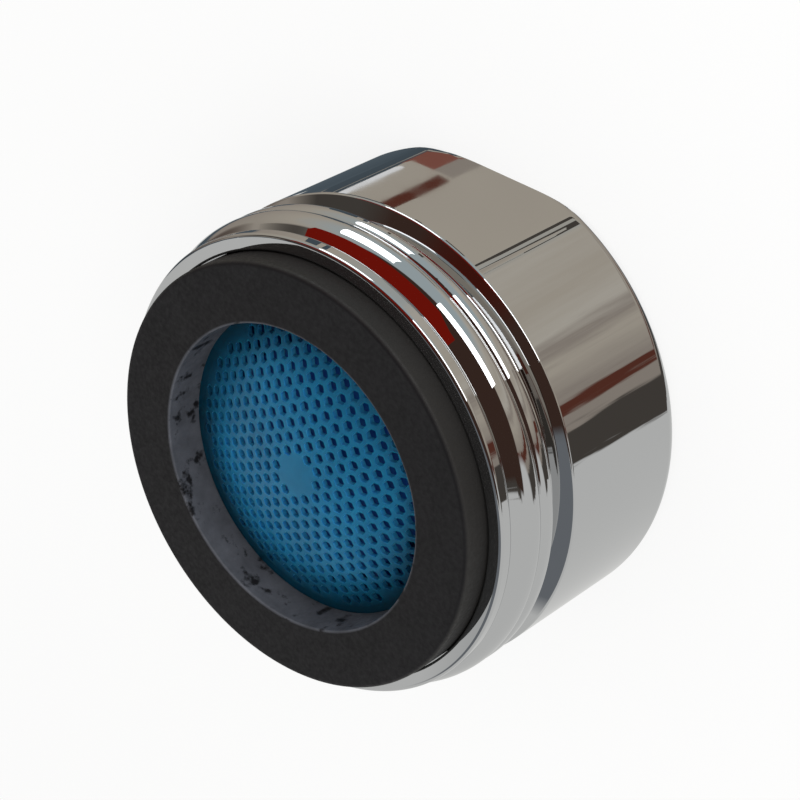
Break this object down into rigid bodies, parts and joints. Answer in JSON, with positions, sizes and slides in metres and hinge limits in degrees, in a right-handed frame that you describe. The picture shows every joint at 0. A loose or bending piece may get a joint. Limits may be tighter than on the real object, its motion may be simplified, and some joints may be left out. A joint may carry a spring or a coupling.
{
  "type": "tap aerator",
  "caption": "Round chromed sleeve with beaded inlet end and wrench flats, holding a rubber washer, a domed strainer and a jet insert that mixes air into tap water.",
  "frame": {"origin": "centre of the outlet rim, on the axis", "axes": "+Z along the axis from the outlet up to the inlet; the wrench flats face +Y and -Y"},
  "size_m": [0.024, 0.024, 0.0146],
  "materials": {
    "chromed_brass": "polished plating",
    "washer_rubber": "moulded, dull",
    "strainer_plastic": "semi-gloss moulded",
    "insert_plastic": "moulded, satin",
    "screen_steel": "plain stainless"
  },
  "bodies": {
    "root": {"sleeve": "chromed_brass", "sealing_washer": "washer_rubber", "dome_strainer": "strainer_plastic", "insert_body": "insert_plastic", "jet_plate": "strainer_plastic", "upper_screen": "screen_steel", "lower_screen": "screen_steel", "screen_spacer": "insert_plastic", "outlet_grid": "insert_plastic"}
  },
  "joints": []
}
